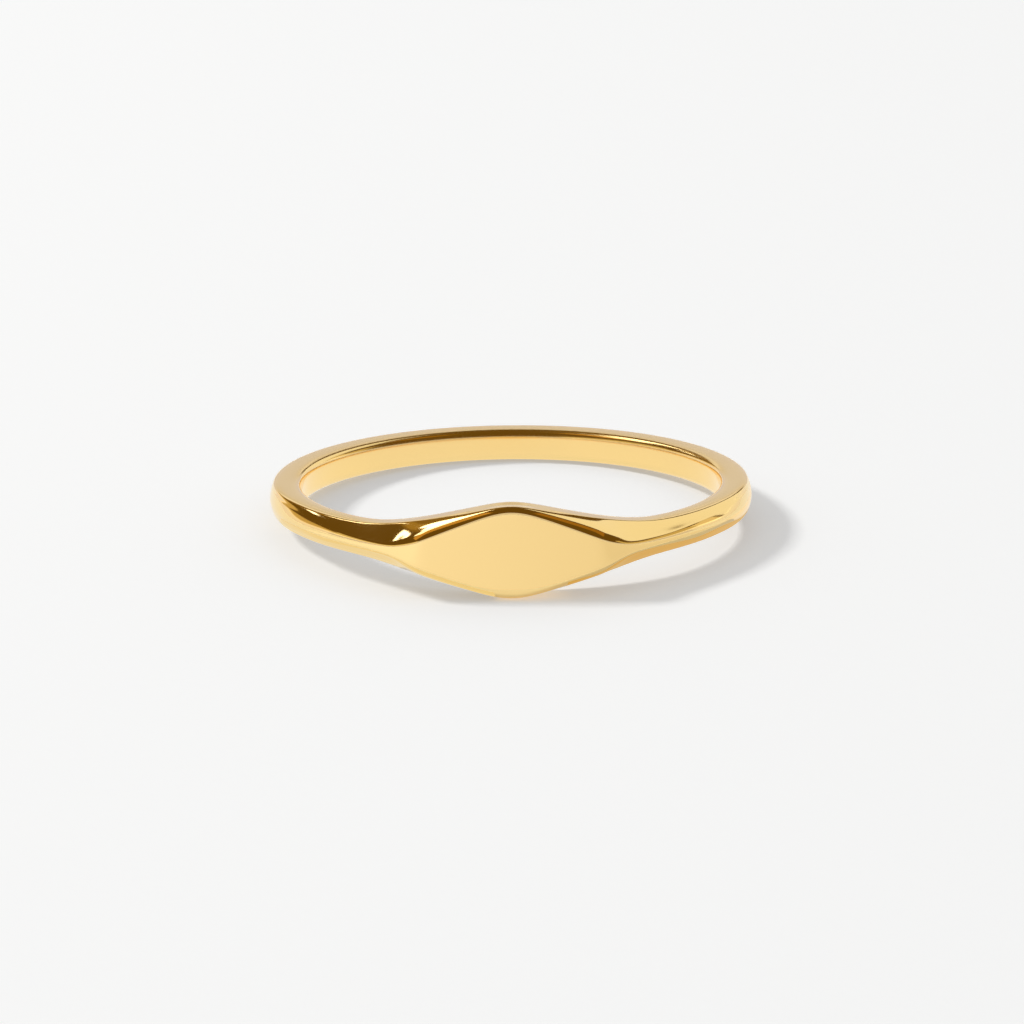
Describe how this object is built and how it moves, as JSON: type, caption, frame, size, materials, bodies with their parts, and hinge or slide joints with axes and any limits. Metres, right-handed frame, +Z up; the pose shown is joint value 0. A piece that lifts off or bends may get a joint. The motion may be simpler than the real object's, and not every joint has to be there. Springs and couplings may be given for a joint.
{
  "type": "initial signet ring",
  "caption": "Slim signet finger ring: a round band that widens into a low head with a flat, diamond shaped face left blank for an initial.",
  "frame": {"origin": "middle of the ring's outline on the surface that it lies on", "axes": "+Z up from that surface, -Y towards the signet head, +X to the right of someone who faces the head"},
  "size_m": [0.0198, 0.0202, 0.0038],
  "materials": {
    "gold": "polished gold plate over silver"
  },
  "bodies": {
    "root": {"ring": "gold"}
  },
  "joints": []
}
